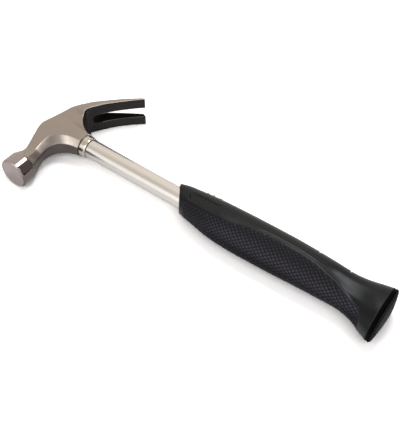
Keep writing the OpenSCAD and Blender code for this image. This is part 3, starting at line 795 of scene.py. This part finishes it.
def grip_sections():
    """Rows of place, half widths to the claw and the face, half thickness and squareness, the
    number of rows before the butt's end, and the half width to the claw where it starts."""
    nose_round = (nose_w / 2 - tube_r) * nose_round_share
    claw_half = butt_w / 2 * (1 - butt_offset_share)
    face_half = butt_w / 2 * (1 + butt_offset_share)
    rim_x = grip_end - butt_dome
    nose_claw = nose_w / 2 * nose_claw_share
    rows = [[grip_start + nose_round, nose_claw, nose_w / 2, nose_w / 2, grip_squareness]]
    rows += [[grip_start + grip_len * s[0], grip_w / 2 * s[1], grip_w / 2 * s[2],
              grip_t / 2 * s[3], grip_squareness] for s in grip_body_shares]
    rows += [[grip_start + grip_len * s[0], butt_w / 2 * s[1], butt_w / 2 * s[2],
              butt_t / 2 * s[3], between(grip_squareness, butt_squareness, s[4])]
             for s in grip_butt_shares]
    rows += [[rim_x - butt_round, claw_half, face_half, butt_t / 2, butt_squareness]]
    main = smooth_rows(rows, 40)
    xs = np.arange(main[0, 0], main[-1, 0], row_spacing)
    main = [[x] + [np.interp(x, main[:, 0], main[:, k]) for k in (1, 2, 3, 4)] for x in xs]
    nose = []
    for j in range(6):
        a = math.pi / 2 * j / 6
        inset = nose_round * (1 - math.sin(a))
        nose.append([grip_start + nose_round * (1 - math.cos(a)), nose_claw - inset,
                     nose_w / 2 - inset, nose_w / 2 - inset, grip_squareness])
    rim = []
    for j in range(9):
        a = math.pi / 2 * j / 8
        inset = butt_round * (1 - math.cos(a))
        rim.append([rim_x - butt_round * (1 - math.sin(a)), claw_half - inset,
                    face_half - inset, butt_t / 2 - inset, butt_squareness])
    dome = []
    for j in range(1, 15):
        left = between(1, butt_flat_share, j / 14)
        dome.append([grip_end - butt_dome * (left ** 2 - butt_flat_share ** 2)
                     / (1 - butt_flat_share ** 2),
                     (claw_half - butt_round) * left, (face_half - butt_round) * left,
                     (butt_t / 2 - butt_round) * left, butt_squareness])
    before_end = nose + main + rim
    return np.array(before_end + dome), len(before_end), claw_half - butt_round


def section_points(row, ang):
    """Points of a section, which leans at the nose."""
    x, claw_half, face_half, half_t, squareness = row
    c, s = np.cos(ang), np.sin(ang)
    flat = 2 / squareness
    side = np.where(c > 0, claw_half, face_half)
    across, up = np.sign(c) * np.abs(c) ** flat, np.sign(s) * np.abs(s) ** flat
    lean = np.maximum(0, 1 - (x - grip_start) / (grip_len * lean_share)) ** 2
    return np.stack([x - nose_lean * side / nose_w * across * lean, side * across, half_t * up],
                    -1)


def even_section(row):
    """Points at even distances round a section, with their distance from its top, which is
    positive towards the striking face, and the distance from top to back."""
    fine = np.linspace(0, math.pi, 4 * 180 + 1)
    pts = section_points(row, fine)
    arc = np.concatenate([[0], np.cumsum(np.linalg.norm(np.diff(pts, axis=0), axis=1))])
    want = np.linspace(0, arc[-1], grip_sides // 2 + 1)
    top = np.interp(math.pi / 2, fine, arc)
    upper = section_points(row, np.interp(want, arc, fine))
    lower = upper[1:-1][::-1] * np.array([1, 1, -1])
    across = want - top
    return np.concatenate([upper, lower]), np.concatenate([across, across[1:-1][::-1]]), top


def edge_distance(x, s):
    """Signed distance from the edge line, positive on the knurled side."""
    best = np.full(x.shape, 1e9)
    for a, b in zip(edge_line[:-1], edge_line[1:]):
        d = b - a
        t = np.clip(((x - a[0]) * d[0] + (s - a[1]) * d[1]) / (d @ d), 0, 1)
        best = np.minimum(best, np.hypot(x - a[0] - t * d[0], s - a[1] - t * d[1]))
    inside = (s > np.interp(x, edge_line[:, 0], edge_line[:, 1])) & (x < knurl_stop)
    return np.where(inside, best, -best)


def outward_normals(points, centre):
    along = np.gradient(points, axis=0)
    around = np.roll(points, -1, axis=1) - np.roll(points, 1, axis=1)
    normals = np.cross(around, along)
    normals /= np.linalg.norm(normals, axis=-1, keepdims=True) + 1e-12
    return -normals if ((points - centre) * normals).sum(-1).mean() < 0 else normals


def knurl_relief(x, s, knurled):
    """Blunt diamonds, cut by two families of V grooves, and how deep in a groove a point is."""
    grooves = []
    for turns in (x / knurl_pitch_along + s / knurl_pitch_across,
                  x / knurl_pitch_along - s / knurl_pitch_across):
        grooves.append(np.abs(2 * (turns - np.floor(turns)) - 1))
    raised = np.minimum((1 - np.maximum(*grooves)) * 1.9, 1)
    return knurl_depth * (raised - 1) * knurled, smoothstep(0.2, 0.75, 1 - raised) * knurled


def panel_relief(x, s):
    """Long panel beside the back strip: a step at its front and along the back, which runs out
    towards the knurled side and the far end, and the groove that outlines it."""
    sides_in = np.minimum(s - panel_back - 2.0 * np.exp(-((x - panel_start) / 2.2)),
                          x - panel_start)
    inset = np.minimum(sides_in, (panel_end - x) * 0.9)
    step = smoothstep(0, 0.45, inset) * (1 - smoothstep(3.0, 8.0, s)) \
        * (1 - smoothstep(panel_fade_x, panel_fade_x + 10, x))
    outline = crest(sides_in - 0.25, 0.38) * (1 - smoothstep(4.0, 6.5, s)) \
        * (1 - smoothstep(panel_end - 3, panel_end, x))
    return -panel_depth * step - panel_groove_depth * outline, outline


def back_relief(x, from_back):
    """Three small ribs and two notches with a lip, across the back."""
    height = np.zeros(x.shape)
    for x0, high in ribs:
        height += high * crest(x - x0, 0.6) * (1 - smoothstep(8.5, 11.0, from_back))
    wide = 1 - smoothstep(9.5, 14.0, from_back)
    for x0, deep in notches:
        height += (notch_lip * crest(x - x0 + 1.6, 0.7) - deep * crest(x - x0, 0.6)) * wide
    return height


def make_grip():
    all_rows, end_row, end_half = grip_sections()
    sections = [even_section(row) for row in all_rows]
    points = np.array([pts for pts, across, top in sections])
    s = np.array([across for pts, across, top in sections])
    from_back = s + np.array([[top] for pts, across, top in sections])
    rows, sides = s.shape
    x = np.repeat(all_rows[:, :1], sides, axis=1)
    normals = outward_normals(points, np.stack([x, 0 * x, 0 * x], -1))

    dist = edge_distance(x, s)
    knurled = smoothstep(0.4, 2.6, dist) * smoothstep(knurl_start, knurl_full, x)
    height, hollow_shade = knurl_relief(x, s, knurled)

    # Fine ridge along the edge of the knurled side, with a groove beside its middle part
    line = crest(dist, 0.42) * window(x, 188, 200, 296, 312)
    # Painted highlight along the ridge, growing towards the butt
    ridge_highlight = 0.75 * line * smoothstep(200, 250, x)
    height += ridge_height * line
    height -= ridge_groove_depth * crest(dist + ridge_groove_off, 0.45) \
        * window(x, 208, 214, 259, 265)

    panel_height, outline = panel_relief(x, s)
    height += panel_height + back_relief(x, from_back)
    # The knurl's hollows and the panel's outlining groove get painted shade
    hollow_shade = np.maximum(hollow_shade, 0.95 * outline)

    # Groove at the butt's rim, and painted shade in a dark ring round the rim and the edge of the
    # end
    height -= rim_groove_depth * crest(x - rim_groove_x, 0.7)
    in_end = np.arange(rows)[:, None] >= end_row
    ring = np.where(in_end, smoothstep(0.76, 0.82, all_rows[:, 1:2] / end_half), 1.0)
    hollow_shade = np.maximum(hollow_shade, smoothstep(butt_dark_x, butt_dark_x + 0.8, x) * ring)

    # Scallop beside the ridge, which runs out onto the butt
    along = (x - scallop_start) / scallop_len
    height -= scallop_depth * window(along, 0.05, 0.45, 0.95, 1.3) \
        * crest(s + 1.4 - 7.0 * along, scallop_half_w) * smoothstep(-0.6, 1.2, -dist)

    # Paler narrow back; along the middle of the knurled side a painted sheen band on the knurl's
    # tops, and painted shade on them towards the underside
    pale_back = smoothstep(0.3, 2.2, -dist) * window(x, 134, 136, 255, 292)
    wear_and_painted_sheen = 0.28 + 0.72 * crest(s - 17.0, 6.0) * smoothstep(150, 190, x)
    wear_and_painted_sheen *= 1 - 0.97 * smoothstep(21, 27, s)

    skin = (points + normals * height[..., None]).reshape(-1, 3)
    faces = grid_faces(rows, sides)
    faces.append(tuple((rows - 1) * sides + k for k in reversed(range(sides))))
    # The bore for the tube, closed at the butt
    ang = np.array([math.atan2(p[2], p[1]) for p in skin[:sides]])
    mouth = np.stack([skin[:sides, 0], (tube_r + fit_gap) * np.cos(ang),
                      (tube_r + fit_gap) * np.sin(ang)], -1)
    floor_ring = mouth.copy()
    floor_ring[:, 0] = tube_end + end_flange
    base = len(skin)
    for k in range(sides):
        n = (k + 1) % sides
        faces.append((k, n, base + n, base + k))
        faces.append((base + k, base + n, base + sides + n, base + sides + k))
    faces.append(tuple(base + sides + k for k in range(sides)))
    ob = make_mesh("grip", np.concatenate([skin, mouth, floor_ring]), faces)
    give(ob, [rubber_material(), knurl_material(), butt_material()])

    # A grid face lies between two rings and two neighbouring corners
    cut = knurled > 0.25
    cut = cut[:-1] & cut[1:] & np.roll(cut, -1, axis=1)[:-1]
    slots = np.where(x[:-1] > butt_matt_x, 2, cut.astype(int)).reshape(-1)
    for polygon, slot in zip(ob.data.polygons, slots):
        polygon.material_index = int(slot)
    ob.data.polygons[len(slots)].material_index = 2
    for name, values in (("hollow_shade", hollow_shade), ("edge", ridge_highlight), ("pale_back", pale_back), ("wear_and_painted_sheen", wear_and_painted_sheen)):
        point_attribute(ob.data, name, np.concatenate([values.reshape(-1), np.zeros(2 * sides)]))
    return outward(ob)


grip = make_grip()
smooth_shade(grip, 50)
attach(grip, "root")
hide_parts("rubber_grip")


# ---------------------------------------------------------------- floor

def support_plane(obs):
    """Plane z = a + b x + c y that the lying hammer rests on: butt, bell and claw touch it."""
    pts = np.concatenate([np.array([v.co[:] for v in o.data.vertices]) for o in obs])
    butt_from, head_end_from = 0.10, 0.045
    zones = [pts[pts[:, 0] > butt_from], pts[pts[:, 1] < -head_end_from],
             pts[pts[:, 1] > head_end_from]]
    plane = np.zeros(3)
    for _ in range(8):
        low = []
        for z in zones:
            gap = z[:, 2] - (plane[0] + plane[1] * z[:, 0] + plane[2] * z[:, 1])
            low.append(z[gap.argmin()])
        low = np.array(low)
        plane = np.linalg.solve(np.c_[np.ones(3), low[:, 0], low[:, 1]], low[:, 2])
    return plane


plane_z, slope_x, slope_y = support_plane([head, grip])
half_side = 4.0
floor_mesh = bpy.data.meshes.new("floor")
corners = [(-half_side, -half_side), (half_side, -half_side),
           (half_side, half_side), (-half_side, half_side)]
floor_mesh.from_pydata([(x, y, plane_z + slope_x * x + slope_y * y) for x, y in corners], [],
                       [(0, 1, 2, 3)])
floor = bpy.data.objects.new("floor", floor_mesh)
bpy.context.scene.collection.objects.link(floor)

floor_material = bpy.data.materials.new("pale_floor")
floor_material.use_nodes = True
floor_material.node_tree.nodes.clear()
n = Nodes(floor_material.node_tree, "Object")
out = n.new("OutputMaterial")
diffuse = n.new("BsdfDiffuse")
grain = n.new("TexNoise")
grain.inputs["Scale"].default_value = 30
colour = n.mix(grain.outputs["Fac"], (0.89, 0.89, 0.89), (0.91, 0.91, 0.91))
# Seen in polished steel the floor is brighter. To the camera it is brighter still, and more so
# beyond the lamps' reach, so that it ends in white on all sides
colour = n.mix(n.rays("Is Glossy Ray", "Is Transmission Ray"), colour, (1.18, 1.18, 1.19))
far_off = n.ramp(n.vector_math("LENGTH", "Value", n.place), 0.45, 1.5)
white = n.mix(far_off, (1.75, 1.755, 1.77), (2.5, 2.6, 2.75))
colour = n.mix(n.rays("Is Camera Ray"), colour, white)
n.feed(colour, diffuse.inputs["Color"])
n.feed(diffuse.outputs["BSDF"], out.inputs["Surface"])
floor.data.materials.append(floor_material)


# ---------------------------------------------------------------- light and camera

def direction(az, el):
    """Unit vector: azimuth 0 looks from the front (-Y) and 90 from the right (+X)."""
    az, el = math.radians(az), math.radians(el)
    return Vector((math.sin(az) * math.cos(el), -math.cos(az) * math.cos(el), math.sin(el)))


scene = bpy.context.scene
scene.view_settings.view_transform = "Standard"

world = bpy.data.worlds.new("studio")
scene.world = world
world.use_nodes = True
world.node_tree.nodes.clear()
n = Nodes(world.node_tree, "Generated")
out = n.new("OutputWorld")
background = n.new("Background")
# The studio's walls, softly brighter or darker round some directions: azimuth and elevation,
# the angles at which a patch starts to fade and ends, colour
walls = (1.00, 0.985, 0.97)
for way, inner, outer, tint in (
        ((-140, 40), 30, 65, (1.18, 1.09, 0.99)), ((-55, 52), 8, 32, (0.91, 0.83, 0.72)),
        ((-22, 8), 14, 40, (1.55, 1.54, 1.52)), ((-8, 32), 8, 24, (2.1, 2.06, 2.02)),
        ((112, 18), 44, 74, (0.24, 0.215, 0.205))):
    facing = n.vector_math("DOT_PRODUCT", "Value", n.place, direction(*way))
    share = n.ramp(facing, math.cos(math.radians(outer)), math.cos(math.radians(inner)))
    walls = n.mix(share, walls, tint)
n.feed(n.mix(n.rays("Is Camera Ray"), walls, (1.0, 1.0, 1.0)), background.inputs["Color"])
# The walls show at full strength in metal, and light the floor more weakly than the lamps
strength = n.new("MapRange")
n.feed(n.rays("Is Camera Ray", "Is Glossy Ray", "Is Transmission Ray"), strength.inputs["Value"])
strength.inputs["To Min"].default_value = 0.5
n.feed(strength.outputs["Result"], background.inputs["Strength"])
n.feed(background.outputs["Background"], out.inputs["Surface"])


def softbox(name, place, target, size, radiance):
    """Area light that shows as a rectangle of this radiance in polished steel."""
    data = bpy.data.lights.new(name, "AREA")
    data.shape = "RECTANGLE"
    data.size, data.size_y = size
    data.energy = radiance * math.pi * size[0] * size[1]
    ob = bpy.data.objects.new(name, data)
    scene.collection.objects.link(ob)
    ob.location = place
    ob.rotation_mode = "QUATERNION"
    ob.rotation_quaternion = (Vector(target) - Vector(place)).to_track_quat("-Z", "Y")
    ob.visible_camera = False


head_place, middle = Vector((-0.15, -0.03, 0.02)), Vector((0, 0, 0.02))
softbox("back_softbox", (-0.018, 0.282, 0.733), middle, (0.29, 0.26), 8.5)
softbox("front_softbox", head_place + direction(6, 43), head_place, (0.38, 0.46), 2.9)
softbox("key_softbox", middle + direction(64, 50) * 1.1, middle, (0.56, 0.50), 2.6)

# The camera that was fitted to the photograph: its place in metres, where it looks from, its
# roll, and its focal length and the centre of its view in pixels of the 400 by 440 picture
camera_place, camera_roll = (0.2280, -0.3406, 0.4882), math.radians(2.424)
picture_w, picture_h, focal_px, centre_px, sensor = 400, 440, 747.38, (204.86, 212.17), 36
away = direction(33.685, 49.146)
up = Vector((0, 0, 1)) - away * away.z
up.normalize()
right = up.cross(away)
right, up = (math.cos(camera_roll) * right + math.sin(camera_roll) * up,
             -math.sin(camera_roll) * right + math.cos(camera_roll) * up)
cam_data = bpy.data.cameras.new("camera")
cam_data.sensor_fit = "AUTO"
cam_data.sensor_width = sensor
cam_data.lens = focal_px * sensor / picture_h
cam_data.shift_x = (picture_w / 2 - centre_px[0]) / picture_h
cam_data.shift_y = (centre_px[1] - picture_h / 2) / picture_h
cam_data.clip_start, cam_data.clip_end = 0.01, 50
cam = bpy.data.objects.new("camera", cam_data)
cam.matrix_world = Matrix([(right[i], up[i], away[i], camera_place[i]) for i in range(3)]
                          + [(0, 0, 0, 1)])
scene.collection.objects.link(cam)
scene.camera = cam
